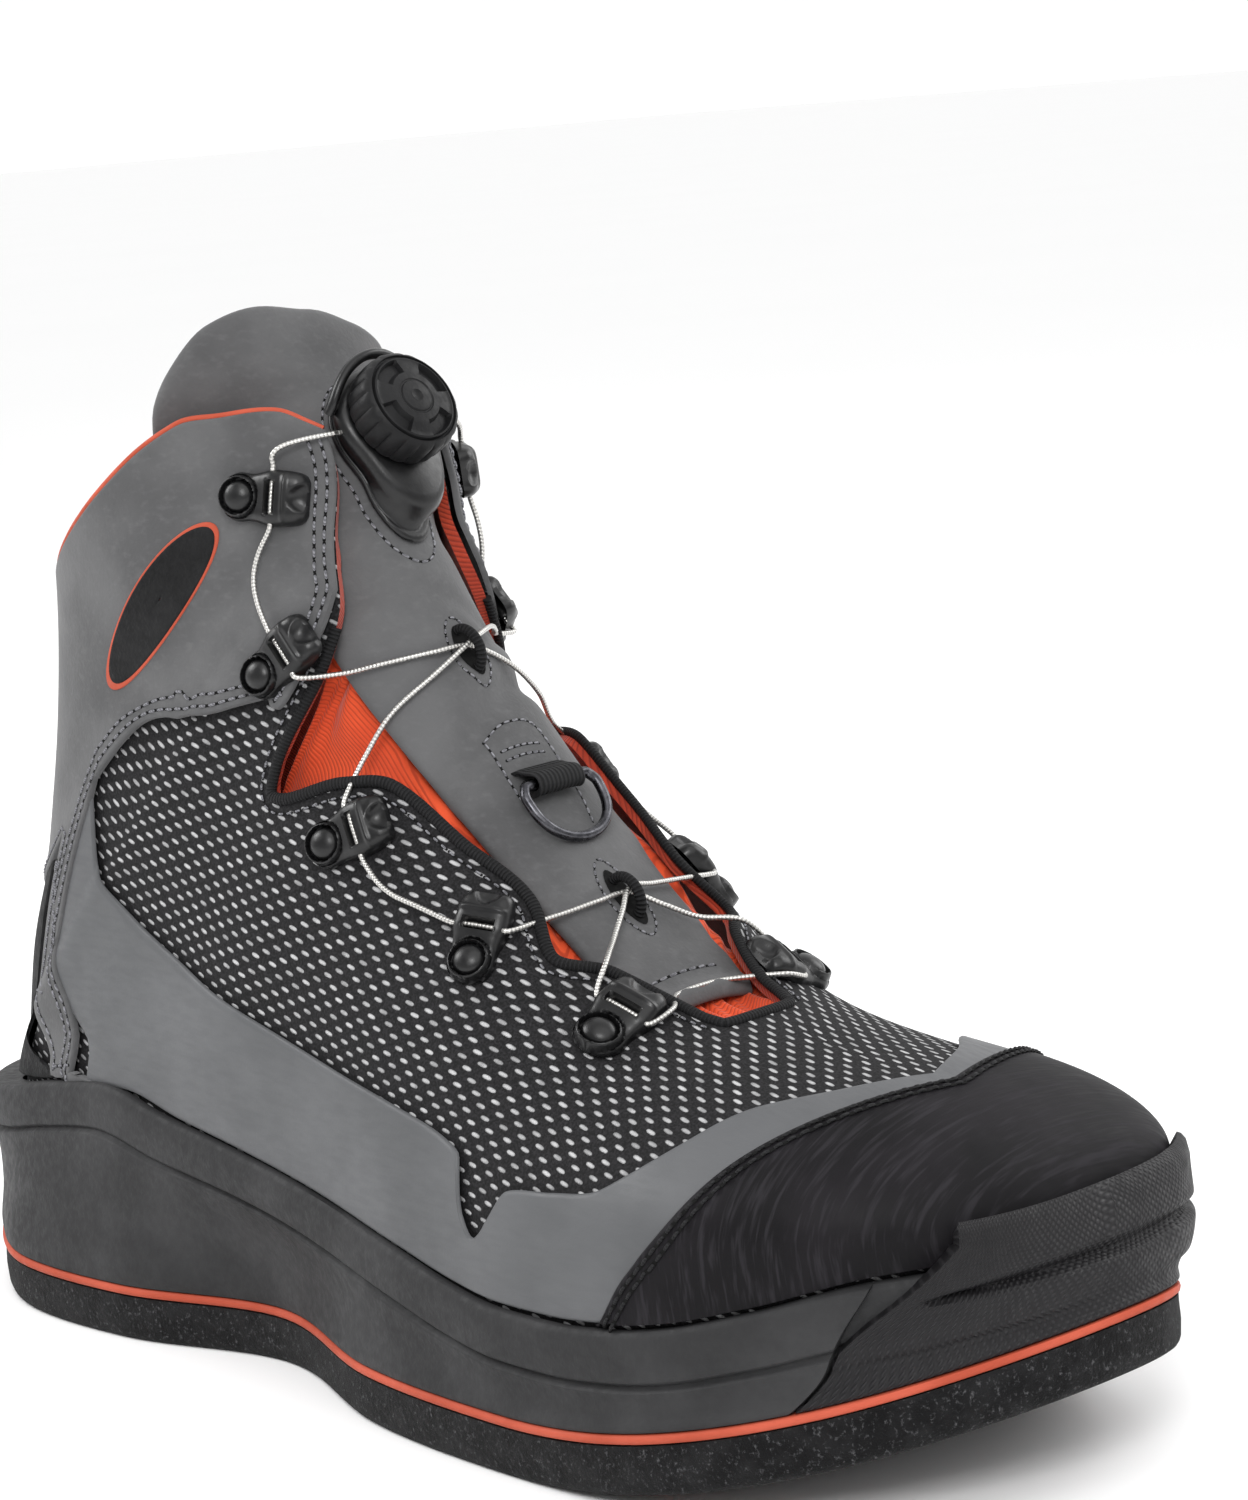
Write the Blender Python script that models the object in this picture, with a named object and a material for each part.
"""Felt-soled wading boot for the right foot: toe to +X, outer side to -Y, standing on its sole at z = 0."""

import math

import bmesh
import bpy
import numpy as np
from mathutils import Matrix, Vector

# Driving sizes, in metres.
SOLE_LENGTH = 0.318
BALL_WIDTH = 0.1134
SHAFT_HEIGHT = 0.221
FELT = 0.0100
LINE = 0.0020
GAP = 0.0003
TOE_SPRING = 0.0220
HEEL_SPRING = 0.0050
SPRING_START = 0.055
HEEL_ROLL_START = -0.118
BED_HEEL = 0.0396
BED_BALL = 0.0266
RIM_BAND = 0.0116
BUMPER = 0.0023
BUMPER_TOP = 0.2557 * SHAFT_HEIGHT
SKIN = 0.0012
PANEL_GAP = 0.0004
CUP_GAP = 0.0011
RIM_CLEAR = 0.0026
PANEL = 0.0008
PANEL_OUT = 0.0005
WALL = 0.0025
INSOLE = 0.0030
TONGUE = 0.0040
GUSSET = 0.0012
LACE_RADIUS = 0.0007
KNOB_RADIUS = 0.0115

# Sole outline, a row per station from the toe to the heel. x as shares of the length, y of the ball width.
OUTLINE = {
    "columns": "out_x out_y in_x in_y",
    "rows": [
        (0.500, 0.107, 0.500, 0.107),
        (0.478, -0.124, 0.472, 0.285),
        (0.409, -0.353, 0.393, 0.421),
        (0.299, -0.483, 0.283, 0.501),
        (0.173, -0.498, 0.173, 0.502),
        (0.031, -0.458, 0.047, 0.414),
        (-0.110, -0.329, -0.094, 0.326),
        (-0.252, -0.408, -0.236, 0.326),
        (-0.384, -0.388, -0.377, 0.362),
        (-0.472, -0.217, -0.469, 0.231),
        (-0.500, 0.004, -0.500, 0.004),
    ],
}

# Rim of the midsole: its height, and how far its lip stands out from the last.
RIM = {
    "columns": "x height lip",
    "rows": [
        (-0.510, 0.208, 0.093),
        (-0.465, 0.213, 0.093),
        (-0.409, 0.221, 0.056),
        (-0.346, 0.240, 0.030),
        (-0.283, 0.253, 0.021),
        (-0.208, 0.235, 0.018),
        (-0.132, 0.220, 0.018),
        (-0.022, 0.196, 0.018),
        (0.050, 0.178, 0.018),
        (0.119, 0.160, 0.018),
        (0.170, 0.152, 0.018),
        (0.220, 0.151, 0.018),
        (0.261, 0.155, 0.018),
        (0.305, 0.164, 0.019),
        (0.358, 0.184, 0.028),
        (0.425, 0.210, 0.042),
        (0.472, 0.213, 0.062),
    ],
}

# The last as a fan of sections from the toe, over the instep, to the collar. Every section runs from its
# low point (the feather line, then the back of the heel and shaft) to its top point (the ridge). along is the
# place in the fan, x shares of the length, z of the shaft height, widths of the ball width; low_z counts from
# the footbed. belly is the share of the height where the section is widest, square_top and square_low are its
# corner exponents.
FAN = {
    "columns": "along low_x low_z top_x top_z centre foot out in belly square_top square_low ridge",
    "rows": [
        (0.00, 0.472, 0.000, 0.473, 0.208, 0.093, 0.009, 0.009, 0.009, 0.50, 2.00, 2.0, 0.000),
        (0.04, 0.464, 0.000, 0.470, 0.240, 0.088, 0.141, 0.150, 0.150, 0.50, 2.30, 2.2, 0.000),
        (0.09, 0.445, 0.000, 0.458, 0.274, 0.079, 0.247, 0.260, 0.260, 0.48, 2.20, 2.4, 0.000),
        (0.15, 0.412, 0.000, 0.428, 0.305, 0.057, 0.340, 0.357, 0.357, 0.45, 2.10, 2.4, 0.000),
        (0.22, 0.352, 0.000, 0.374, 0.333, 0.026, 0.414, 0.432, 0.437, 0.42, 2.05, 2.4, 0.000),
        (0.30, 0.267, 0.000, 0.292, 0.355, 0.000, 0.459, 0.476, 0.472, 0.40, 1.98, 2.4, 0.009),
        (0.38, 0.173, 0.000, 0.211, 0.389, -0.013, 0.454, 0.472, 0.472, 0.38, 1.92, 2.4, 0.026),
        (0.46, 0.063, 0.000, 0.132, 0.473, -0.013, 0.410, 0.441, 0.441, 0.34, 2.00, 2.4, 0.035),
        (0.53, -0.063, 0.000, 0.066, 0.575, -0.004, 0.357, 0.401, 0.406, 0.32, 2.00, 2.4, 0.026),
        (0.59, -0.189, 0.000, 0.022, 0.665, 0.000, 0.344, 0.375, 0.379, 0.33, 2.10, 2.4, 0.009),
        (0.64, -0.314, 0.000, -0.003, 0.729, 0.000, 0.335, 0.353, 0.353, 0.36, 2.15, 2.4, 0.000),
        (0.68, -0.403, 0.000, -0.019, 0.774, 0.000, 0.256, 0.335, 0.335, 0.40, 2.20, 2.4, 0.000),
        (0.71, -0.448, 0.000, -0.028, 0.801, 0.000, 0.132, 0.331, 0.326, 0.43, 2.20, 2.4, 0.000),
        (0.73, -0.460, 0.000, -0.035, 0.819, 0.000, 0.000, 0.320, 0.322, 0.45, 2.20, 2.4, 0.000),
        (0.77, -0.448, 0.100, -0.044, 0.851, 0.000, 0.000, 0.317, 0.322, 0.48, 2.20, 2.3, 0.009),
        (0.82, -0.422, 0.217, -0.057, 0.882, 0.000, 0.000, 0.313, 0.328, 0.50, 2.20, 2.0, 0.018),
        (0.88, -0.393, 0.362, -0.072, 0.919, 0.000, 0.000, 0.312, 0.332, 0.50, 2.20, 1.9, 0.022),
        (0.94, -0.371, 0.489, -0.088, 0.955, 0.000, 0.000, 0.317, 0.337, 0.50, 2.20, 1.9, 0.022),
        (1.00, -0.357, 0.620, -0.107, 1.000, 0.000, 0.000, 0.326, 0.340, 0.50, 2.20, 1.9, 0.022),
    ],
}
HEEL_SEAT = 0.73
LAST_TOE = 0.472
LAST_HEEL = 0.460

# Half width of the throat along the fan, and the collar's place in the fan from its front to the heel.
THROAT = {
    "columns": "along half",
    "rows": [
        (0.000, 0.060),
        (0.350, 0.060),
        (0.365, 0.070),
        (0.380, 0.076),
        (0.420, 0.112),
        (0.448, 0.165),
        (0.478, 0.142),
        (0.522, 0.177),
        (0.570, 0.210),
        (0.594, 0.255),
        (0.628, 0.322),
        (0.638, 0.300),
        (0.652, 0.220),
        (0.680, 0.165),
        (0.714, 0.150),
        (0.824, 0.118),
        (1.000, 0.118),
    ],
}
COLLAR = {
    "columns": "around along",
    "rows": [
        (0.100, 0.835),
        (0.142, 0.872),
        (0.177, 0.902),
        (0.262, 0.934),
        (0.335, 0.954),
        (0.425, 0.958),
        (0.565, 0.957),
        (1.000, 0.962),
    ],
}
THROAT_END = 0.35
TONGUE_LEAN = 0.0060
WING_FLARE = 0.0110
WING_RISE = 0.0070

# Stations of the upper along the fan, up to the heel seat.
STATIONS = [0.0, 0.02, 0.04, 0.065, 0.09, 0.12, 0.15, 0.185, 0.22, 0.26, 0.305, 0.35, 0.38, 0.42, 0.448]
STATIONS += [0.478, 0.50, 0.522, 0.546, 0.57, 0.594, 0.612, 0.628, 0.638, 0.655, 0.68, 0.70, 0.7175, 0.73]

# Panels of the upper: edges as (place in the fan, place around), for the outer side; the inner side mirrors
# them. q runs from a panel's outer end to its middle; where low_around is 1 it stops at the midsole's rim.
TOE_CAP = {
    "columns": "q low_along low_around high_along high_around",
    "rows": [
        (0.00, 0.297, 1.000, 0.309, 0.722),
        (0.20, 0.220, 1.000, 0.294, 0.560),
        (0.40, 0.150, 1.000, 0.272, 0.438),
        (0.60, 0.090, 1.000, 0.252, 0.290),
        (0.80, 0.040, 1.000, 0.228, 0.145),
        (1.00, 0.012, 0.000, 0.207, 0.000),
    ],
}
SIDE_RAND = {
    "columns": "q low_along low_around high_along high_around",
    "rows": [
        (0.00, 0.738, 0.548, 0.744, 0.528),
        (0.05, 0.700, 0.568, 0.712, 0.500),
        (0.10, 0.655, 0.606, 0.678, 0.490),
        (0.15, 0.627, 1.000, 0.648, 0.484),
        (0.26, 0.575, 1.000, 0.590, 0.478),
        (0.38, 0.505, 1.000, 0.526, 0.455),
        (0.50, 0.440, 1.000, 0.446, 0.427),
        (0.53, 0.425, 1.000, 0.432, 0.430),
        (0.56, 0.412, 1.000, 0.418, 0.510),
        (0.58, 0.402, 1.000, 0.408, 0.545),
        (0.60, 0.390, 1.000, 0.398, 0.497),
        (0.63, 0.376, 1.000, 0.388, 0.438),
        (0.69, 0.352, 1.000, 0.356, 0.412),
        (0.76, 0.328, 1.000, 0.328, 0.392),
        (0.80, 0.316, 1.000, 0.309, 0.345),
        (0.84, 0.302, 0.540, 0.292, 0.280),
        (0.90, 0.272, 0.372, 0.276, 0.195),
        (0.95, 0.250, 0.220, 0.254, 0.105),
        (1.00, 0.213, 0.000, 0.235, 0.000),
    ],
}
HEEL_COUNTER = {
    "columns": "q low_along low_around high_along high_around",
    "rows": [
        (0.00, 0.668, 1.000, 0.674, 0.716),
        (0.25, 0.694, 1.000, 0.712, 0.664),
        (0.50, 0.716, 1.000, 0.752, 0.640),
        (0.75, 0.732, 1.000, 0.776, 0.740),
        (1.00, 0.752, 1.000, 0.800, 1.000),
    ],
}
CUFF = {
    "columns": "around low",
    "rows": [
        (0.118, 0.690),
        (0.165, 0.664),
        (0.210, 0.656),
        (0.255, 0.662),
        (0.320, 0.694),
        (0.392, 0.748),
        (0.453, 0.770),
        (0.515, 0.780),
        (0.650, 0.790),
        (0.800, 0.806),
        (1.000, 0.812),
    ],
}
CUFF_STRIP = {
    "columns": "q along front rear",
    "rows": [
        (0.0, 0.780, 0.515, 0.600),
        (0.3, 0.748, 0.566, 0.628),
        (0.6, 0.704, 0.592, 0.654),
        (0.8, 0.672, 0.640, 0.696),
        (1.0, 0.651, 1.000, 1.000),
    ],
}
TONGUE_SHAPE = {
    "columns": "along half",
    "rows": [
        (0.372, 0.062),
        (0.424, 0.105),
        (0.476, 0.126),
        (0.548, 0.160),
        (0.626, 0.190),
        (0.720, 0.220),
        (0.820, 0.290),
        (0.920, 0.390),
        (1.000, 0.435),
    ],
}

# The tongue's top, from its outer edge at -1 to its inner edge at 1: how far it dips along the fan, and which
# share of the outer wing's extra height it has.
TONGUE_TOP = {
    "columns": "across dip rise",
    "rows": [
        (-1.00, 0.050, 0.50),
        (-0.92, 0.024, 0.60),
        (-0.80, 0.012, 0.75),
        (-0.60, 0.002, 0.90),
        (-0.30, 0.000, 1.00),
        (0.00, 0.002, 0.90),
        (0.30, 0.004, 0.35),
        (0.60, 0.006, 0.00),
        (0.80, 0.012, 0.00),
        (0.92, 0.026, 0.00),
        (1.00, 0.050, 0.00),
    ],
}

# Lace guides: place in the fan and around of the outer side, and the way that the lace leaves, in degrees.
GUIDES = {
    "columns": "along around turn",
    "rows": [
        (0.818, 0.222, -42.0),
        (0.678, 0.240, -5.0),
        (0.572, 0.275, -33.0),
        (0.484, 0.222, 22.0),
        (0.396, 0.152, 5.0),
    ],
}

LOOKS = {
    "felt": (0.030, 0.030, 0.032),
    "orange": (0.60, 0.110, 0.040),
    "midsole": (0.075, 0.078, 0.082),
    "rubber": (0.030, 0.030, 0.032),
    "mesh": (0.060, 0.060, 0.062),
    "rand": (0.200, 0.205, 0.210),
    "nubuck": (0.160, 0.165, 0.170),
    "black": (0.015, 0.015, 0.016),
    "steel": (0.550, 0.550, 0.560),
    "lace": (0.450, 0.450, 0.460),
}

parts = bpy.data.collections.new("wading_boot")
bpy.context.scene.collection.children.link(parts)
for old in list(bpy.data.objects):
    bpy.data.objects.remove(old)


def column(table, name):
    place = table["columns"].split().index(name)
    return np.array([row[place] for row in table["rows"]], float)


def read(table, name, at):
    """Value of a column at a place in the first one, by a cubic that doesn't overshoot its rows."""
    xs = column(table, table["columns"].split()[0])
    ys = column(table, name)
    step = np.diff(xs)
    slope = np.diff(ys) / step
    tangent = np.zeros(len(xs))
    tangent[0] = slope[0]
    tangent[-1] = slope[-1]
    for i in range(1, len(xs) - 1):
        if slope[i - 1] * slope[i] > 0:
            w1 = 2 * step[i] + step[i - 1]
            w2 = step[i] + 2 * step[i - 1]
            tangent[i] = (w1 + w2) / (w1 / slope[i - 1] + w2 / slope[i])
    at = np.clip(np.asarray(at, float), xs[0], xs[-1])
    i = np.clip(np.searchsorted(xs, at, side="right") - 1, 0, len(xs) - 2)
    f = (at - xs[i]) / step[i]
    return (
        (1 + 2 * f) * (1 - f) ** 2 * ys[i]
        + f * (1 - f) ** 2 * step[i] * tangent[i]
        + f * f * (3 - 2 * f) * ys[i + 1]
        + f * f * (f - 1) * step[i] * tangent[i + 1]
    )


def spring(x):
    reach = SOLE_LENGTH / 2 - SPRING_START
    return TOE_SPRING * np.clip((np.asarray(x, float) - SPRING_START) / reach, 0, None) ** 1.8


def ground(x):
    """Height of the underside of the felt."""
    reach = SOLE_LENGTH / 2 + HEEL_ROLL_START
    return spring(x) + HEEL_SPRING * np.clip((HEEL_ROLL_START - np.asarray(x, float)) / reach, 0, None) ** 2


def bed(x):
    """Height of the footbed."""
    f = np.clip((np.asarray(x, float) + 0.095) / 0.140, 0, 1)
    return BED_HEEL + (BED_BALL - BED_HEEL) * f * f * (3 - 2 * f) + spring(x)


def outline(s, side, out=0.0):
    """Plan point of the sole outline at s, 0 at the toe and 1 at the heel, moved outwards by out."""
    rows = np.array(OUTLINE["rows"], float)
    near = rows[:, :2] if side < 0 else rows[:, 2:]
    far = rows[:, 2:] if side < 0 else rows[:, :2]
    knots = np.vstack([far[1], near, far[-2]]) * (SOLE_LENGTH, BALL_WIDTH)
    q = np.asarray(s, float) * (len(near) - 1)
    i = np.clip(np.floor(q).astype(int), 0, len(near) - 2)
    f = (q - i)[..., None]
    p0, p1, p2, p3 = knots[i], knots[i + 1], knots[i + 2], knots[i + 3]
    bend = 2 * p0 - 5 * p1 + 4 * p2 - p3
    twist = 3 * p1 - p0 - 3 * p2 + p3
    point = 0.5 * (2 * p1 + (p2 - p0) * f + bend * f**2 + twist * f**3)
    way = 0.5 * ((p2 - p0) + 2 * bend * f + 3 * twist * f**2)
    normal = np.stack([way[..., 1], -way[..., 0]], -1) * side
    normal /= np.linalg.norm(normal, axis=-1)[..., None]
    return point + normal * np.asarray(out, float)[..., None]


def last_raw(t, a):
    """Point of the last at t along the fan and a around: -1 outer low, 0 on the ridge, 1 inner low."""
    t = np.asarray(t, float)
    a = np.asarray(a, float)
    low_x = read(FAN, "low_x", t) * SOLE_LENGTH
    low_z = read(FAN, "low_z", t) * SHAFT_HEIGHT + bed(low_x) + GAP
    top_x = read(FAN, "top_x", t) * SOLE_LENGTH
    top_z = read(FAN, "top_z", t) * SHAFT_HEIGHT
    foot = read(FAN, "foot", t) * BALL_WIDTH
    wide = np.where(a < 0, read(FAN, "out", t), read(FAN, "in", t)) * BALL_WIDTH
    belly = read(FAN, "belly", t)
    top_n = read(FAN, "square_top", t)
    low_n = read(FAN, "square_low", t)
    turn = np.clip(np.abs(a), 0, 1) * math.pi
    c = np.abs(np.cos(turn))
    s = np.clip(np.sin(turn), 0, 1)
    upper = turn <= math.pi / 2
    rise = np.where(upper, belly + (1 - belly) * c ** (2 / top_n), belly * (1 - c ** (2 / low_n)))
    reach = np.where(upper, wide * s ** (2 / top_n), foot + (wide - foot) * s ** (2 / low_n))
    middle = (read(FAN, "centre", t) + read(FAN, "ridge", t) * rise) * BALL_WIDTH
    x = low_x + (top_x - low_x) * rise
    z = low_z + (top_z - low_z) * rise
    return np.stack([x, middle + np.sign(a) * reach, z], -1)


def last(t, a, out=0.0):
    """The same point moved outwards by out, square to the surface."""
    t, a = np.broadcast_arrays(np.asarray(t, float), np.asarray(a, float))
    step = 0.004
    along = last_raw(np.clip(t + step, 0, 1), a) - last_raw(np.clip(t - step, 0, 1), a)
    low = np.clip(a - 0.006, -1, 1)
    high = np.clip(a + 0.006, -1, 1)
    around = last_raw(t, high) - last_raw(t, low)
    normal = np.cross(around, along)
    back = (np.abs(a) > 0.999) & (t >= HEEL_SEAT - 1e-6)
    normal[back, 1] = 0
    foot = (np.abs(a) > 0.999) & (t < HEEL_SEAT - 1e-6)
    normal[foot, 2] = 0
    normal /= np.linalg.norm(normal, axis=-1)[..., None] + 1e-12
    return last_raw(t, a) + normal * np.asarray(out, float)[..., None]


def around_at(t, side, height):
    """Place around, on one side, where the section at t reaches a height."""
    low = np.zeros(np.shape(t))
    high = np.ones(np.shape(t))
    for _ in range(30):
        middle = (low + high) / 2
        above = last_raw(t, side * middle)[..., 2] > height
        low = np.where(above, middle, low)
        high = np.where(above, high, middle)
    return side * (low + high) / 2


def along_where(name, floor, height, first, final):
    """Place along the fan where a column's height is reached."""
    for _ in range(30):
        middle = (first + final) / 2
        value = float(read(FAN, name, middle)) * SHAFT_HEIGHT + floor(middle)
        if value < height:
            first = middle
        else:
            final = middle
    return (first + final) / 2


def heel_floor(t):
    return float(bed(read(FAN, "low_x", t) * SOLE_LENGTH)) + GAP


def heel_line(height):
    """Place along the fan where the back of the heel reaches a height."""
    return along_where("low_z", heel_floor, height, HEEL_SEAT, 0.9)


def belt(s, side, height, out):
    """Points at a height on the last, s from the toe to the heel, moved outwards in plan."""
    s = np.asarray(s, float)
    height = np.broadcast_to(np.asarray(height, float), s.shape)
    plan = outline(s, side)
    ahead = (0.5 - plan[:, 0] / SOLE_LENGTH) * (LAST_TOE + LAST_HEEL) - LAST_TOE
    grid = np.linspace(0, HEEL_SEAT, 600)
    t = np.interp(ahead, -read(FAN, "low_x", grid), grid)
    first = 0.0
    if height[0] > last_raw(0.0, 0.0)[2]:
        first = along_where("top_z", lambda q: 0.0, height[0], 0.0, 0.3)
    final = HEEL_SEAT
    if height[-1] > heel_floor(HEEL_SEAT) + 1e-5:
        final = heel_line(height[-1])
    t = np.where(t < 0.3, first + t * (0.3 - first) / 0.3, t)
    t = np.where(t > 0.5, 0.5 + (t - 0.5) * (final - 0.5) / (HEEL_SEAT - 0.5), t)
    a = around_at(t, side, height)
    point = last_raw(t, a)
    way = np.gradient(point[:, :2], axis=0)
    if s[0] < 1e-9:
        way[0] = (0, side)
    if s[-1] > 1 - 1e-9:
        way[-1] = (0, -side)
    normal = np.stack([way[:, 1], -way[:, 0]], -1) * side
    normal /= np.linalg.norm(normal, axis=1)[:, None]
    point[:, :2] += normal * np.asarray(out, float)[..., None]
    point[:, 2] = height
    return point


def add(name, points, faces, look, rough=0.6, metal=0.0):
    mesh = bpy.data.meshes.new(name)
    mesh.from_pydata([tuple(p) for p in points], [], [tuple(int(k) for k in f) for f in faces])
    shape = bmesh.new()
    shape.from_mesh(mesh)
    bmesh.ops.remove_doubles(shape, verts=shape.verts, dist=1e-6)
    bmesh.ops.recalc_face_normals(shape, faces=shape.faces)
    if shape.calc_volume(signed=True) < 0:
        bmesh.ops.reverse_faces(shape, faces=shape.faces)
    shape.to_mesh(mesh)
    shape.free()
    material = bpy.data.materials.new(name)
    material.use_nodes = True
    shader = material.node_tree.nodes["Principled BSDF"]
    shader.inputs["Base Color"].default_value = (*LOOKS[look], 1)
    shader.inputs["Roughness"].default_value = rough
    shader.inputs["Metallic"].default_value = metal
    mesh.materials.append(material)
    made = bpy.data.objects.new(name, mesh)
    parts.objects.link(made)
    return made


def thick(name, outer, inner, cells, look, rough=0.6):
    """A sheet with a wall: cells index the outer points, and every open edge gets a rim."""
    count = len(outer)
    faces = [tuple(cell) for cell in cells]
    faces += [tuple(count + k for k in reversed(cell)) for cell in cells]
    rim = {}
    for cell in cells:
        for a, b in zip(cell, cell[1:] + cell[:1]):
            if (b, a) in rim:
                del rim[(b, a)]
            else:
                rim[(a, b)] = True
    faces += [(b, a, count + a, count + b) for a, b in rim]
    return add(name, np.vstack([outer, inner]), faces, look, rough)


def grid_cells(shape):
    """Faces of a grid of points, row by row."""
    rows, columns = shape
    cells = []
    for i in range(rows - 1):
        for j in range(columns - 1):
            first = i * columns + j
            cells.append([first, first + 1, first + columns + 1, first + columns])
    return cells


def patch(name, t, a, out, wall, look, rough=0.6):
    """A panel over a grid of places on the last, from out to out - wall."""
    outer = last(t, a, out).reshape(-1, 3)
    inner = last(t, a, out - wall).reshape(-1, 3)
    return thick(name, outer, inner, grid_cells(t.shape), look, rough)


def closed_rings(name, rings, look, rough=0.6):
    """A solid through closed rings: each lists the outer side from toe to heel, then the inner one back."""
    count = len(rings[0])
    half = count // 2
    points = np.vstack(rings)
    faces = []
    for k in range(len(rings) - 1):
        for i in range(count):
            j = (i + 1) % count
            faces.append((k * count + i, k * count + j, (k + 1) * count + j, (k + 1) * count + i))
    for base in (0, (len(rings) - 1) * count):
        faces.append((base, base + 1, base + count - 1))
        for i in range(1, half - 1):
            faces.append((base + i, base + i + 1, base + count - i - 1, base + count - i))
        faces.append((base + half - 1, base + half, base + half + 1))
    return add(name, points, faces, look, rough)


def both_sides(s, maker):
    """A closed ring: the outer side from toe to heel, then the inner side back, without its end points."""
    outer = maker(s, -1)
    inner = maker(s, 1)
    return np.vstack([outer, inner[-2:0:-1]])


SIDE = (1 - np.cos(np.pi * np.arange(31) / 30)) / 2 * 0.25 + np.arange(31) / 30 * 0.75


def flat_ring(out, height):
    def maker(s, side):
        plan = outline(s, side, np.full(s.shape, out))
        return np.column_stack([plan, height(plan[:, 0])])

    return both_sides(SIDE, maker)


closed_rings(
    "felt_sole",
    [
        flat_ring(-0.0012, ground),
        flat_ring(0.0, lambda x: ground(x) + 0.0012),
        flat_ring(0.0, lambda x: ground(x) + FELT),
    ],
    "felt",
    0.95,
)
closed_rings(
    "sole_line",
    [
        flat_ring(0.0003, lambda x: ground(x) + FELT + GAP),
        flat_ring(0.0003, lambda x: ground(x) + FELT + GAP + LINE),
    ],
    "orange",
)


def foot_of_cup(x):
    return ground(x) + FELT + LINE + 2 * GAP


def rim_height(x):
    return read(RIM, "height", np.asarray(x) / SOLE_LENGTH) * SHAFT_HEIGHT


def last_x(s, side):
    """Place along the last that belongs to a station of the outline."""
    return (LAST_TOE - (0.5 - outline(s, side)[:, 0] / SOLE_LENGTH) * (LAST_TOE + LAST_HEEL)) * SOLE_LENGTH


def lip(x):
    return read(RIM, "lip", np.asarray(x) / SOLE_LENGTH) * BALL_WIDTH


# The toe bumper runs back to these stations of the outline, at its foot, at the rim and at its top.
BUMPER_FOOT = 0.225
BUMPER_RIM = 0.160
BUMPER_HEAD = 0.125
FRONT_STATIONS = 9
STEP_LENGTH = 0.003

# Side of the midsole: share of the way from its foot to the groove under the rim band, or height under the
# rim; how far it has moved from the sole's outline to the rim's; how far it stands out.
CUP = [
    ("low", 0.00, 0.00, 0.0000),
    ("low", 0.12, 0.03, 0.0003),
    ("low", 0.45, 0.20, -0.0004),
    ("low", 0.75, 0.45, -0.0003),
    ("low", 1.00, 0.78, 0.0004),
    ("band", 0.90, 0.80, -0.0008),
    ("band", 0.80, 0.90, 0.0006),
    ("band", 0.40, 1.00, 0.0008),
    ("band", 0.10, 1.00, 0.0003),
    ("band", 0.00, 1.00, -0.0006),
]


def cup_level(s, side, kind, share, rimward, extra, inset):
    plan = outline(s, side)
    under = last_x(s, side)
    rim = rim_height(under)
    edge = belt(s, side, rim, lip(under))[:, :2]
    moved = plan * (1 - rimward) + edge * rimward + outline(s, side, extra - inset) - plan
    foot = foot_of_cup(moved[:, 0])
    groove = rim - RIM_BAND * np.clip((rim - foot) / (1.6 * RIM_BAND), 0.3, 1)
    height = foot + (groove - foot) * share if kind == "low" else rim - (rim - groove) * share
    return np.column_stack([moved, height])


def bumper_end(kind, share):
    rise = share * 0.55 if kind == "low" else 1 - 0.45 * share
    return BUMPER_FOOT + (BUMPER_RIM - BUMPER_FOOT) * rise


def stations_with_step(end):
    """Stations of a side with two close together at the end of the bumper."""
    f = np.linspace(0, 1, 23)
    back = end + STEP_LENGTH + (1 - end - STEP_LENGTH) * (0.6 * f + 0.4 * np.sin(f * math.pi / 2))
    front = np.linspace(0, end, FRONT_STATIONS)
    return np.concatenate([front, back]), FRONT_STATIONS


def midsole():
    rings = []
    for kind, share, rimward, extra in CUP:
        s, split = stations_with_step(bumper_end(kind, share))
        inset = np.where(np.arange(len(s)) < split, BUMPER + GAP, 0.0)

        def maker(s, side, kind=kind, share=share, rimward=rimward, extra=extra, inset=inset):
            return cup_level(s, side, kind, share, rimward, extra, inset)

        rings.append(both_sides(s, maker))
    s, split = stations_with_step(BUMPER_RIM)

    def inner_wall(s, side, share):
        under = last_x(s, side)
        foot = bed(under) + GAP
        height = foot + (rim_height(under) - foot) * share
        return belt(s, side, height, np.full(len(s), -SKIN + CUP_GAP))

    for share in (1.0, 0.6, 0.25, 0.0):
        rings.append(both_sides(s, lambda s, side, share=share: inner_wall(s, side, share)))
    rings[-1][:, 2] = bed(rings[-1][:, 0])
    return closed_rings("midsole", rings, "midsole")


midsole()


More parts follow.
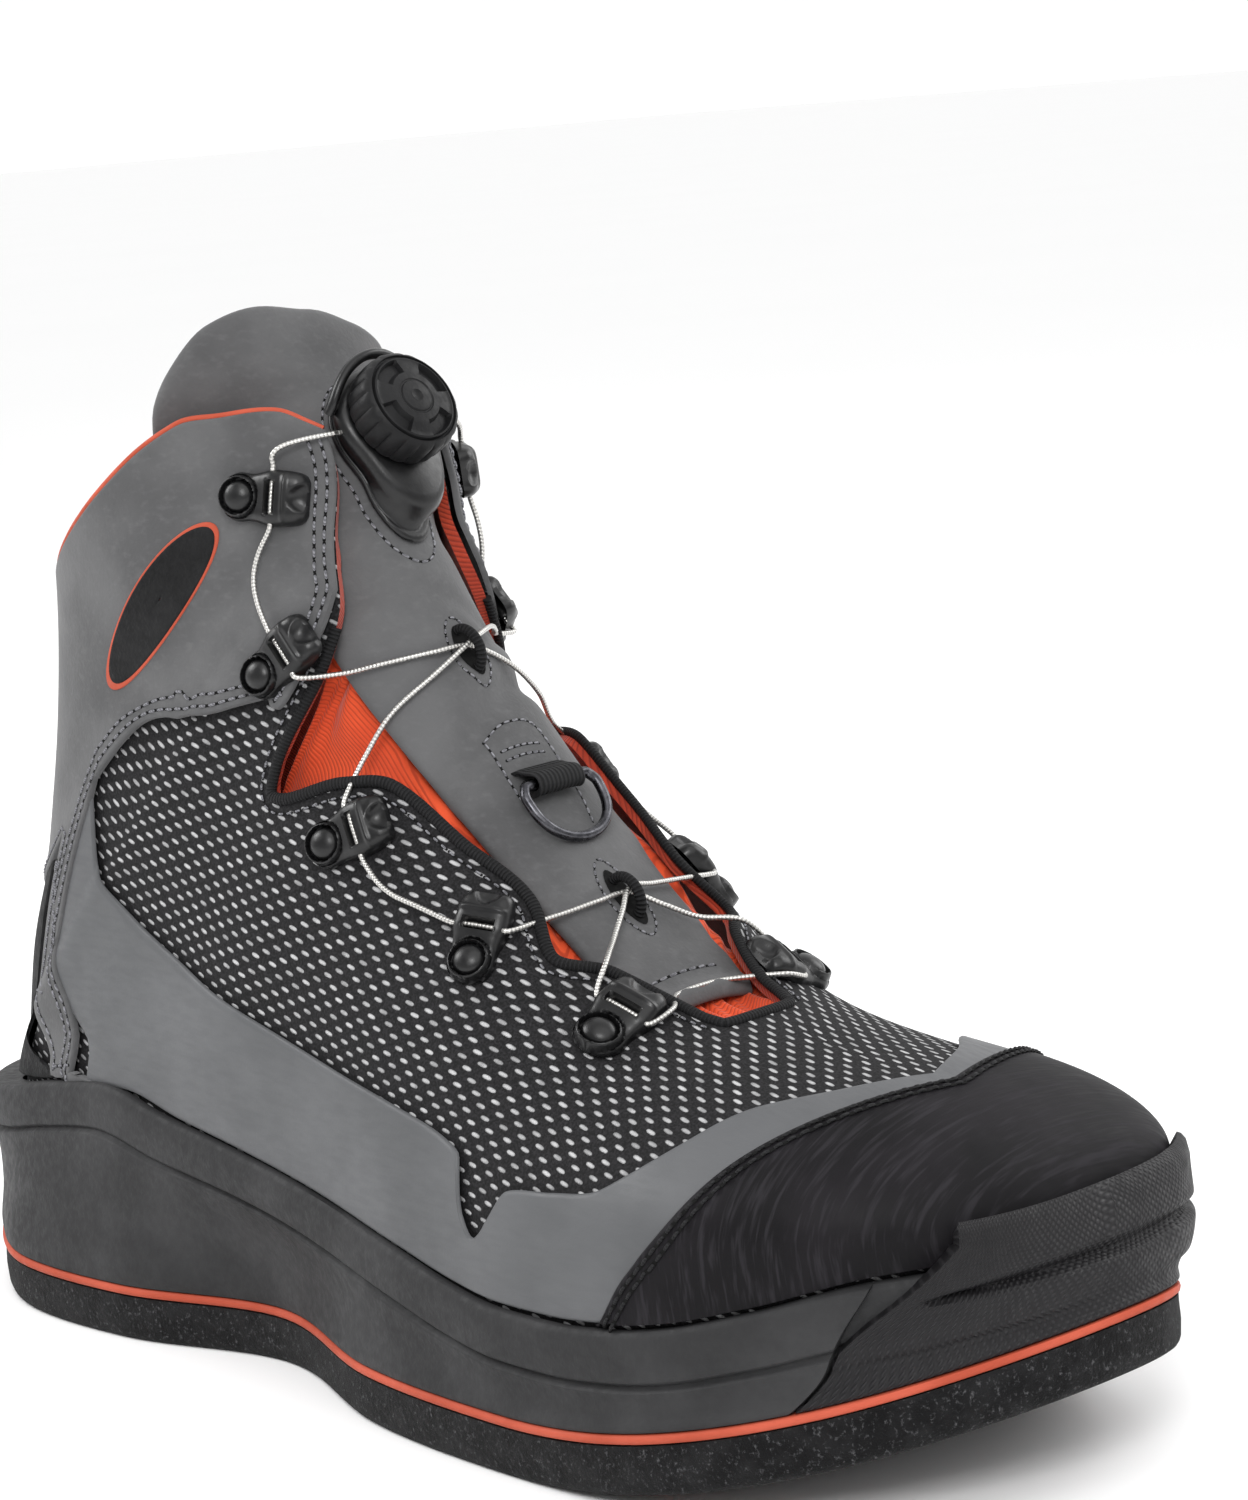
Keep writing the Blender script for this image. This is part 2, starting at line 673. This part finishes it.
def bumper():
    """A strip round the toe: sections from the outer side's end, over the toe, to the inner side's end."""
    count = FRONT_STATIONS
    columns = []

    def ring(maker, s):
        outer, inner = (maker(s, side) for side in (-1, 1))
        columns.append(np.vstack([outer[::-1], inner[1:]]))

    def wall(level, depth):
        kind, share, rimward, extra = level
        s = np.linspace(0, bumper_end(kind, share) - STEP_LENGTH, count)
        inset = np.full(count, depth)
        ring(lambda s, side: cup_level(s, side, kind, share, rimward, extra, inset), s)

    def over(s, side, away, rise):
        under = last_x(s, side)
        return belt(s, side, rim_height(under) + rise, lip(under) * away[0] + away[1])

    for k in (0, 2, 4, 7):
        wall(CUP[k], 0.0)
    head = np.linspace(0, BUMPER_HEAD, count)
    ring(lambda s, side: belt(s, side, np.full(count, BUMPER_TOP - 0.0035), np.full(count, 0.0050)), head)
    ring(lambda s, side: belt(s, side, np.full(count, BUMPER_TOP), np.full(count, 0.0038)), head)
    ring(lambda s, side: belt(s, side, np.full(count, BUMPER_TOP), np.full(count, 0.0025)), head)
    foot = np.linspace(0, BUMPER_RIM - STEP_LENGTH, count)
    ring(lambda s, side: over(s, side, (0.0, 0.0025), 0.0006), foot)
    ring(lambda s, side: over(s, side, (1.0, -BUMPER), 0.0006), foot)
    for k in (8, 7, 6, 5, 4, 3, 2, 1, 0):
        wall(CUP[k], BUMPER)
    points = np.array(columns)
    levels, length = points.shape[:2]
    faces = []
    for i in range(levels):
        j = (i + 1) % levels
        for k in range(length - 1):
            faces.append((i * length + k, j * length + k, j * length + k + 1, i * length + k + 1))
    for k in (0, length - 1):
        faces.append(tuple(i * length + k for i in range(levels)))
    return add("toe_bumper", points.reshape(-1, 3), faces, "rubber")


bumper()


def insole():
    def edge(s, side):
        return belt(s, side, bed(last_x(s, side)) + GAP, np.full(len(s), -SKIN - WALL - 0.0020))

    s = SIDE
    top = both_sides(s, edge)
    low = top.copy()
    low[:, 2] = bed(low[:, 0]) + GAP
    top[:, 2] = low[:, 2] + INSOLE
    return closed_rings("insole", [low, top], "black")


insole()


def upper():
    side_cells = 10
    rows = []
    c = np.linspace(0, 1, side_cells + 1)
    for t in STATIONS:
        half = float(read(THROAT, "half", t))
        around = 1 - (1 - half) * c
        rows.append((np.full(side_cells + 1, t), around))
    for k in np.linspace(0, 1, 10)[1:]:
        t = np.full(side_cells + 1, HEEL_SEAT + (0.957 - HEEL_SEAT) * k)
        for _ in range(4):
            around = 1 - (1 - read(THROAT, "half", t)) * c
            t = HEEL_SEAT + (read(COLLAR, "along", around) - HEEL_SEAT) * k
        rows.append((t, around))
    places = []
    index = {}
    for i, (t, around) in enumerate(rows):
        for side in (-1, 1):
            for j in range(side_cells + 1):
                if side > 0 and j == 0 and t[0] >= HEEL_SEAT - 1e-9:
                    index[i, side, j] = index[i, -1, 0]
                    continue
                index[i, side, j] = len(places)
                places.append((t[j], side * around[j]))
        if t[0] <= THROAT_END + 1e-9:
            index[i, 0, 0] = len(places)
            places.append((t[0], 0.0))
    cells = []
    for i in range(len(rows) - 1):
        for j in range(side_cells):
            cells.append([index[i, -1, j], index[i + 1, -1, j], index[i + 1, -1, j + 1], index[i, -1, j + 1]])
            cells.append([index[i, 1, j], index[i, 1, j + 1], index[i + 1, 1, j + 1], index[i + 1, 1, j]])
        if (i + 1, 0, 0) in index:
            n = side_cells
            cells.append([index[i, -1, n], index[i + 1, -1, n], index[i + 1, 0, 0], index[i, 0, 0]])
            cells.append([index[i, 0, 0], index[i + 1, 0, 0], index[i + 1, 1, n], index[i, 1, n]])
    toe = [index[0, -1, j] for j in range(side_cells + 1)] + [index[0, 0, 0]]
    toe_in = [index[0, 1, j] for j in range(side_cells + 1)] + [index[0, 0, 0]]
    for j in range(side_cells + 1):
        cell = [toe[j], toe[j + 1], toe_in[j + 1], toe_in[j]]
        cells.append(cell[:2] + cell[3:] if cell[1] == cell[2] else cell)
    t, a = np.array(places).T
    return thick("upper", last(t, a, -SKIN), last(t, a, -SKIN - WALL), cells, "mesh")


upper()


def rim_edge(t, side):
    """Place around where a panel meets the rim of the midsole."""
    return np.abs(around_at(t, side, rim_height(read(FAN, "low_x", t) * SOLE_LENGTH) + RIM_CLEAR))


def panel_grid(table, columns, rows, lean=1.0):
    """Places of a panel, from the outer end over its middle to the inner end."""
    q = np.linspace(0, 1, columns)
    strips = []
    for side in (-1, 1):
        low_t = read(table, "low_along", q)
        rim = rim_edge(low_t, side)
        low_a = np.minimum(read(table, "low_around", q), rim)
        table_a = read(table, "low_around", q)
        low_a = np.where(table_a > 0.97, rim, low_a)
        high_t = read(table, "high_along", q)
        high_a = read(table, "high_around", q)
        if high_a[-1] > 0.99:
            low_t[-1] = heel_line(float(rim_height(-LAST_HEEL * SOLE_LENGTH)) + RIM_CLEAR)
            low_a[-1] = 1.0
        f = np.linspace(0, 1, rows)[:, None] ** lean
        strips.append((low_t + (high_t - low_t) * f, side * (low_a + (high_a - low_a) * f)))
    t = np.hstack([strips[0][0], strips[1][0][:, -2::-1]])
    a = np.hstack([strips[0][1], strips[1][1][:, -2::-1]])
    return t, a


t, a = panel_grid(TOE_CAP, 14, 7, 1.4)
patch("toe_cap", t, a, PANEL_OUT + 0.0005, PANEL, "black", 0.5)
t, a = panel_grid(SIDE_RAND, 28, 5)
patch("side_rand", t, a, PANEL_OUT + 0.0004, PANEL, "rand", 0.5)
t, a = panel_grid(HEEL_COUNTER, 13, 5)
patch("heel_counter", t, a, PANEL_OUT + 0.0005, PANEL, "rubber", 0.7)


def cuff():
    """The ankle panel: from the collar to its seam, with strips that run on down to the midsole."""
    columns = [0.118, 0.165, 0.21, 0.255, 0.32, 0.385, 0.45, 0.515, 0.557, 0.60, 0.68, 0.76, 0.84, 0.92, 1.0]
    rows = 7
    places = []
    index = {}
    for side in (-1, 1):
        for j, around in enumerate(columns):
            low = float(read(CUFF, "low", around))
            high = float(read(COLLAR, "along", around)) - 0.002
            for i in range(rows):
                if side > 0 and around == 1.0:
                    index[side, i, j] = index[-1, i, j]
                    continue
                index[side, i, j] = len(places)
                t = high + (low - high) * i / (rows - 1)
                half = max(around, float(read(THROAT, "half", t)) + (around - 0.118) * 0.6)
                places.append((t, side * half))
        for i, q in enumerate((0.3, 0.6, 0.8, 1.0)):
            t = float(read(CUFF_STRIP, "along", q))
            rim = float(rim_edge(np.array([t]), side)[0])
            front = min(float(read(CUFF_STRIP, "front", q)), rim)
            rear = min(float(read(CUFF_STRIP, "rear", q)), rim)
            for k in range(3):
                index[side, rows + i, 7 + k] = len(places)
                if q < 1:
                    places.append((t, side * (front + (rear - front) * k / 2)))
                else:
                    t = 0.643 + 0.010 * k
                    places.append((t, side * float(rim_edge(np.array([t]), side)[0])))
    cells = []
    for side in (-1, 1):
        for s, i, j in index:
            corners = [(s, i, j), (s, i, j + 1), (s, i + 1, j + 1), (s, i + 1, j)]
            if s != side or any(corner not in index for corner in corners):
                continue
            cell = [index[corner] for corner in corners]
            cells.append(cell if side < 0 else cell[::-1])
    t, a = np.array(places).T
    thick("cuff", last(t, a, PANEL_OUT), last(t, a, PANEL_OUT - PANEL), cells, "nubuck", 0.8)


cuff()


def tongue_out(t):
    """How far the tongue's face lies under the last's surface."""
    t = np.asarray(t, float)
    lean = TONGUE_LEAN * np.clip((t - 0.80) / 0.20, 0, 1) ** 1.5
    return -SKIN - WALL - 0.0012 - lean


def tongue_skin(t, a, f, out):
    """Points of the tongue: its wings lean out over the collar, and the outer one stands higher."""
    near_top = np.clip((t - 0.93) / 0.07, 0, 1) ** 1.3
    flare = WING_FLARE * near_top * np.abs(f) ** 1.5
    points = last(t, a, out + flare)
    height = np.clip((t - 0.92) / 0.08, 0, 1) ** 1.4 * read(TONGUE_TOP, "rise", f)
    points[..., 2] += WING_RISE * height
    return points


def tongue():
    rows, columns = 15, 12
    f = np.linspace(-1, 1, columns)[None, :]
    share = np.linspace(0, 1, rows)[:, None]
    foot = TONGUE_SHAPE["rows"][0][0]
    dip = read(TONGUE_TOP, "dip", f)
    t = foot + (1 - dip - foot) * share
    a = read(TONGUE_SHAPE, "half", foot + (1 - foot) * share) * f
    wall = TONGUE * (0.65 + 0.6 * np.clip((t - 0.75) / 0.2, 0, 1))
    outer = tongue_skin(t, a, f, tongue_out(t)).reshape(-1, 3)
    inner = tongue_skin(t, a, f, tongue_out(t) - wall).reshape(-1, 3)
    return thick("tongue", outer, inner, grid_cells(t.shape), "nubuck", 0.8)


tongue()


def gusset():
    rows, columns = 11, 11
    along = np.linspace(0.372, 0.70, rows)[:, None]
    f = np.linspace(-1, 1, columns)[None, :]
    t = np.broadcast_to(along, (rows, columns))
    half = np.maximum(read(THROAT, "half", along), read(TONGUE_SHAPE, "half", along)) + 0.035
    out = -SKIN - WALL - 0.0012 - TONGUE * 0.65 - 0.0006
    return patch("gusset", t, half * f, np.full(t.shape, out), np.full(t.shape, GUSSET), "orange", 0.7)


gusset()


def frame_at(t, a, out, turn=0.0):
    """Axes on the last: x towards the ridge, turned by turn degrees, z out of the surface."""
    spot = last(np.array([t, t, t + 0.002]), np.array([a, a * 0.98 if a else 0.004, a]), np.array([out] * 3))
    up = last(np.array([t]), np.array([a]), np.array([out + 0.001]))[0] - spot[0]
    up = Vector(up).normalized()
    ahead = Vector(spot[1] - spot[0])
    ahead = (ahead - up * ahead.dot(up)).normalized()
    ahead.rotate(Matrix.Rotation(math.radians(turn), 3, up))
    across = up.cross(ahead)
    return Matrix((
        (ahead.x, across.x, up.x, spot[0][0]),
        (ahead.y, across.y, up.y, spot[0][1]),
        (ahead.z, across.z, up.z, spot[0][2]),
        (0, 0, 0, 1),
    ))


# A lace guide from the side, mm, with half widths: its foot, the rivet's dome, the arch that holds the lace.
GUIDE_SIDE = {
    "columns": "x z half",
    "rows": [
        (-11.0, 0.0, 3.5),
        (-11.0, 1.4, 3.5),
        (-9.0, 3.2, 5.6),
        (-6.5, 3.8, 6.6),
        (-4.0, 3.2, 6.8),
        (-1.5, 2.0, 6.8),
        (1.5, 3.2, 6.6),
        (3.2, 5.2, 6.2),
        (6.4, 5.2, 5.8),
        (8.8, 3.4, 5.0),
        (9.4, 0.0, 4.8),
        (2.0, 0.0, 6.6),
        (-5.0, 0.0, 6.8),
    ],
}
CHANNEL = (4.9, 2.9, 1.3)


def guide(name, place):
    shape = bmesh.new()
    rows = GUIDE_SIDE["rows"]
    loops = []
    for face in (-1, 1):
        rim = [shape.verts.new((x, face, z)) for x, z, half in rows]
        turns = [math.radians(k * 60) for k in range(6)]
        x, z, r = CHANNEL
        hole = [shape.verts.new((x + r * math.cos(k), face, z + r * math.sin(k))) for k in turns]
        edges = []
        for loop in (rim, hole):
            edges += [shape.edges.new((loop[k], loop[(k + 1) % len(loop)])) for k in range(len(loop))]
        bmesh.ops.triangle_fill(shape, use_beauty=True, edges=edges)
        loops.append((rim, hole))
    for near, far in zip(loops[0], loops[1]):
        for k in range(len(near)):
            j = (k + 1) % len(near)
            shape.faces.new((near[k], near[j], far[j], far[k]))
    widths = {(round(x, 4), round(z, 4)): half for x, z, half in rows}
    for vert in shape.verts:
        vert.co.y *= widths.get((round(vert.co.x, 4), round(vert.co.z, 4)), 5.9)
        vert.co = place @ (vert.co * 0.001)
    points = [tuple(v.co) for v in shape.verts]
    shape.verts.index_update()
    faces = [tuple(v.index for v in f.verts) for f in shape.faces]
    shape.free()
    return add(name, points, faces, "black", 0.3)


ports = {}
for side, letter in ((-1, "out"), (1, "in")):
    for k, (t, a, turn) in enumerate(GUIDES["rows"]):
        lift = PANEL_OUT + 0.0007 if k < 2 else -SKIN + 0.0007
        place = frame_at(t, side * a, lift, -side * turn)
        guide(f"guide_{letter}_{k + 1}", place)
        ends = []
        for way in (-1, 1):
            x, z = CHANNEL[0] * 0.001, CHANNEL[1] * 0.001
            ends.append([place @ Vector((x, way * y, z)) for y in (0.0046, 0.0068)])
        ends.sort(key=lambda pair: pair[1].z)
        ports[letter, k + 1, "down"] = ends[0]
        ports[letter, k + 1, "up"] = ends[1]


def tube(name, path, radius, look, sides=6, closed=False, keep=True):
    """A round bar along a path."""
    path = [Vector(p) for p in path]
    count = len(path)
    points = []
    normal = None
    for k, at in enumerate(path):
        before = path[k - 1] if k or closed else at
        after = path[(k + 1) % count] if k < count - 1 or closed else at
        way = (after - before).normalized()
        if normal is None:
            normal = way.orthogonal().normalized()
        normal = (normal - way * normal.dot(way)).normalized()
        other = way.cross(normal)
        for j in range(sides):
            turn = 2 * math.pi * j / sides
            points.append(at + (normal * math.cos(turn) + other * math.sin(turn)) * radius)
    faces = []
    for k in range(count if closed else count - 1):
        for j in range(sides):
            a = k * sides + j
            b = k * sides + (j + 1) % sides
            c = (k + 1) % count * sides + (j + 1) % sides
            d = (k + 1) % count * sides + j
            faces.append((a, b, c, d))
    if not closed:
        faces.append(tuple(range(sides)))
        faces.append(tuple(range((count - 1) * sides, count * sides)))
    return add(name, points, faces, look, 0.35, 0.6)


cutters = bpy.data.collections.new("helpers")
bpy.context.scene.collection.children.link(cutters)


def helper(made):
    parts.objects.unlink(made)
    cutters.objects.link(made)
    made.hide_render = True
    made.display_type = "WIRE"
    return made


def join(made, other):
    union = made.modifiers.new("join", "BOOLEAN")
    union.operation = "UNION"
    union.solver = "EXACT"
    union.object = helper(other)
    return made


def clear_of_shoe(point, lift):
    """The point, or the nearest place that is this far above the tongue or the upper, if it lies deeper."""
    t, a = np.meshgrid(np.linspace(0.36, 0.90, 136), np.linspace(-0.36, 0.36, 145), indexing="ij")
    floor = np.where(np.abs(a) > read(THROAT, "half", t) - 0.012, PANEL_OUT, tongue_out(t)) + lift
    t, a, floor = t.ravel(), a.ravel(), floor.ravel()
    seats = last(t, a, floor)
    away = np.array(point) - seats
    near = np.argmin((away**2).sum(1), keepdims=True)
    above = last(t[near], a[near], floor[near] + 0.001) - seats[near]
    if away[near[0]] @ above[0] > 0:
        return Vector(point)
    return Vector(seats[near[0]])


def on_ridge(t, lift):
    return Vector(last(np.array([t]), np.array([0.0]), np.array([float(tongue_out(t)) + lift]))[0])


def run(start, end, over=None):
    """A lace from inside one port to inside the next one, over the loop between them if there is one."""
    knots = [start[1], over, end[1]] if over else [start[1], end[1]]
    shares = (0.3, 0.5, 0.7, 0.85) if over else (0.35, 0.65)
    path = [start[0]]
    for first, second in zip(knots, knots[1:]):
        path.append(first)
        for share in shares if second == over or not over else [1 - k for k in reversed(shares)]:
            straight = first.lerp(second, share)
            lifted = clear_of_shoe(straight, LACE_LIFT)
            if (lifted - straight).length > 0.0001:
                path.append(lifted)
    path.append(knots[-1])
    path.append(end[0])
    return path


LACE_LIFT = 0.0015
LOOP_A = on_ridge(0.606, LACE_LIFT)
LOOP_B = on_ridge(0.458, LACE_LIFT)
DIAL = (0.832, 0.0)
dial_place = frame_at(DIAL[0], DIAL[1], float(tongue_out(DIAL[0])))
dial_place = dial_place @ Matrix.Rotation(math.radians(-90), 4, "Z")


def disc(name, rings, look, rough):
    """A solid of rings of equal count between two middle points."""
    count = len(rings[1])
    points = [rings[0]] + [p for ring in rings[1:-1] for p in ring] + [rings[-1]]
    faces = []
    for j in range(count):
        k = (j + 1) % count
        faces.append((0, 1 + k, 1 + j))
        for r in range(len(rings) - 3):
            base = 1 + r * count
            faces.append((base + j, base + k, base + count + k, base + count + j))
        last_ring = 1 + (len(rings) - 3) * count
        faces.append((last_ring + j, last_ring + k, len(points) - 1))
    return add(name, points, faces, look, rough)


def on_tongue(down, across, lift):
    """A point over the tongue's face, by how far down and across it lies from the dial's middle."""
    t = DIAL[0] - down * 5.85
    a = math.copysign((abs(across) / 0.038) ** 1.1 / math.pi, across)
    return last(np.array([t]), np.array([a]), np.array([float(tongue_out(t)) + lift]))[0]


def dial_base():
    count = 20
    shape = []
    for k in range(count):
        turn = 2 * math.pi * k / count
        near = min(turn, 2 * math.pi - turn)
        shield = 0.0110 * math.exp(-((near / 0.62) ** 2))
        shape.append((turn, 0.0138 + shield - 0.0010 * math.cos(near)))
    middle = dial_place @ Vector((0, 0, 0))
    down = 1 if (dial_place @ Vector((0.01, 0, 0))).z < middle.z else -1
    across = 1 if (dial_place @ Vector((0, 0.01, 0))).y > middle.y else -1
    rings = [on_tongue(0.003, 0.0, 0.0004)]
    for share in (0.5, 1.0):
        ring = []
        for q, r in shape:
            drop = r * share * math.cos(q) + 0.003 * (1 - share)
            ring.append(on_tongue(drop, r * share * math.sin(q), 0.0004))
        rings.append(ring)
    for share, height in ((0.97, 0.0036), (0.86, 0.0052)):
        ring = []
        for q, r in shape:
            spot = Vector((down * r * share * math.cos(q), across * r * share * math.sin(q), height))
            ring.append(dial_place @ spot)
        rings.append(ring)
    rings.append(dial_place @ Vector((down * 0.003, 0, 0.0056)))
    return disc("dial_base", rings, "black", 0.4)


dial_base()


# The knob from the side: share of its radius, height over the tongue, and whether it is ribbed there.
KNOB_SIDE = [(0.87, 0.0062, 0), (0.96, 0.0070, 1), (1.0, 0.0130, 1), (0.85, 0.0150, 0), (0.39, 0.0156, 0)]


def dial_knob():
    count = 24
    rings = [dial_place @ Vector((0, 0, 0.0062))]
    for share, height, rib in KNOB_SIDE:
        ring = []
        for k in range(count):
            turn = 2 * math.pi * k / count
            r = KNOB_RADIUS * share - 0.0004 * rib * (k % 2)
            ring.append(dial_place @ Vector((r * math.cos(turn), r * math.sin(turn), height)))
        rings.append(ring)
    rings.append(dial_place @ Vector((0, 0, 0.0158)))
    return disc("dial_knob", rings, "black", 0.45)


dial_knob()

side_port = {}
for letter, side in (("out", -1), ("in", 1)):
    spot = dial_place @ Vector((0, 0, 0.0030))
    side_port[letter] = [spot + Vector((0, side * 0.0142, 0)), spot + Vector((0, side * 0.0156, 0))]


def lace(name, start, end, over=None):
    return tube(name, run(start, end, over), LACE_RADIUS, "lace", sides=5)


for letter in ("out", "in"):
    lace(f"lace_dial_{letter}", side_port[letter], ports[letter, 1, "up"])
    lace(f"lace_top_{letter}", ports[letter, 1, "down"], ports[letter, 2, "up"])
    lace(f"lace_mid_{letter}", ports[letter, 3, "down"], ports[letter, 4, "up"])
    side = -1 if letter == "out" else 1
    lift = tongue_out(np.array([0.388])) + LACE_RADIUS + 3 * GAP
    hem = Vector(last(np.array([0.388]), np.array([side * 0.052]), lift)[0])
    mouth = ports[letter, 5, "down"]
    turn = mouth[1] + (mouth[1] - mouth[0]) * 0.8
    near = turn.lerp(hem, 0.25) + (mouth[1] - mouth[0]) * 0.3
    path = [mouth[0], mouth[1], turn, near, turn.lerp(hem, 0.65) + Vector((0, 0, 0.0010)), hem]
    tube(f"lace_hem_{letter}", path, LACE_RADIUS, "lace", sides=5)
for letter, over, upper_one, lower_one in (("a", LOOP_A, 2, 3), ("b", LOOP_B, 4, 5)):
    name = f"lace_cross_{letter}"
    crossing = lace(name, ports["out", upper_one, "down"], ports["in", lower_one, "up"], over)
    other = lace(f"other_{letter}", ports["out", lower_one, "up"], ports["in", upper_one, "down"], over)
    join(crossing, other)


def tongue_loop(name, t):
    """A cord loop that stands on the tongue's ridge and holds both strands down."""
    place = frame_at(t, 0.0, float(tongue_out(t)))
    way = (on_ridge(t + 0.01, 0.0) - on_ridge(t - 0.01, 0.0)).normalized()
    up = Vector((place[0][2], place[1][2], place[2][2]))
    middle = on_ridge(t, 0.0014)
    path = []
    for k in range(9):
        turn = math.pi * k / 8
        path.append(middle + way * LOOP_RADIUS * math.cos(turn) + up * LOOP_RADIUS * math.sin(turn))
    path = [path[0] - up * 0.0010] + path + [path[-1] - up * 0.0010]
    return tube(name, path, 0.0008, "black", sides=5)


LOOP_RADIUS = 0.0032
tongue_loop("tongue_loop_a", 0.606)
tongue_loop("tongue_loop_b", 0.458)


# The strap that carries the ring, from the side, mm: it lies on the tongue and ends in a tunnel for the bar.
RING_STRAP = [(-15.0, 0.9), (-15.0, 2.0), (-3.2, 2.2), (-1.8, 4.4), (0.8, 5.3), (3.2, 4.2), (3.8, 2.0)]
RING_STRAP += [(2.0, 0.9)]
RING_AT = 0.524
RING_BAR = (0.6, 2.9)
RING_WIRE = 0.0011
RING_HALF = 0.0100
RING_DEPTH = 0.0135


def across_profile(name, place, outline_mm, hole, radius, half, look, rough):
    """A profile with a round hole, in the plane of x and z, given a width along y."""
    shape = bmesh.new()
    loops = []
    for face in (-1, 1):
        rim = [shape.verts.new((x * 0.001, face * half, z * 0.001)) for x, z in outline_mm]
        ring = []
        for k in range(8):
            turn = 2 * math.pi * k / 8
            x = hole[0] * 0.001 + radius * math.cos(turn)
            z = hole[1] * 0.001 + radius * math.sin(turn)
            ring.append(shape.verts.new((x, face * half, z)))
        edges = []
        for loop in (rim, ring):
            edges += [shape.edges.new((loop[k], loop[(k + 1) % len(loop)])) for k in range(len(loop))]
        bmesh.ops.triangle_fill(shape, use_beauty=True, edges=edges)
        loops.append((rim, ring))
    for near, far in zip(loops[0], loops[1]):
        for k in range(len(near)):
            j = (k + 1) % len(near)
            shape.faces.new((near[k], near[j], far[j], far[k]))
    shape.verts.index_update()
    points = [tuple(place @ v.co) for v in shape.verts]
    faces = [tuple(v.index for v in f.verts) for f in shape.faces]
    shape.free()
    return add(name, points, faces, look, rough)


up = Vector([frame_at(RING_AT, 0.0, 0.0)[i][2] for i in range(3)])
down = (on_ridge(RING_AT - 0.02, 0.0) - on_ridge(RING_AT + 0.02, 0.0)).normalized()
down = (down - up * down.dot(up)).normalized()
beside = up.cross(down)
spot = on_ridge(RING_AT, 0.0)
ring_place = Matrix([(down[i], beside[i], up[i], spot[i]) for i in range(3)] + [(0, 0, 0, 1)])
across_profile("ring_strap", ring_place, RING_STRAP, RING_BAR, RING_WIRE + 0.0004, 0.0075, "nubuck", 0.8)


def d_ring():
    bar = Vector((RING_BAR[0] * 0.001, 0, RING_BAR[1] * 0.001))
    path = [bar + Vector((0, y * RING_HALF, 0)) for y in (-0.86, 0.86)]
    for k in range(11):
        turn = math.pi * k / 10
        reach = 0.0022 + (RING_DEPTH - 0.0022) * math.sin(turn) ** 0.75
        path.append(bar + Vector((reach, RING_HALF * math.cos(turn), -0.0008 * math.sin(turn))))
    return tube("d_ring", [ring_place @ p for p in path], RING_WIRE, "steel", sides=8, closed=True)


d_ring()


def pull_tab():
    across = [0.905, 0.935, 0.965, 1.0]
    a = np.array([-k for k in across] + across[-2::-1])[None, :]
    share = np.linspace(0, 1, 7)[:, None]
    t = 0.886 + 0.070 * share + 0 * a
    a = a + 0 * share
    out = PANEL_OUT + 0.0022 + 0.0030 * np.sin(math.pi * share) ** 0.7 + 0 * a
    return patch("pull_tab", t, a, out, out - PANEL_OUT - 0.0007, "black", 0.8)


pull_tab()
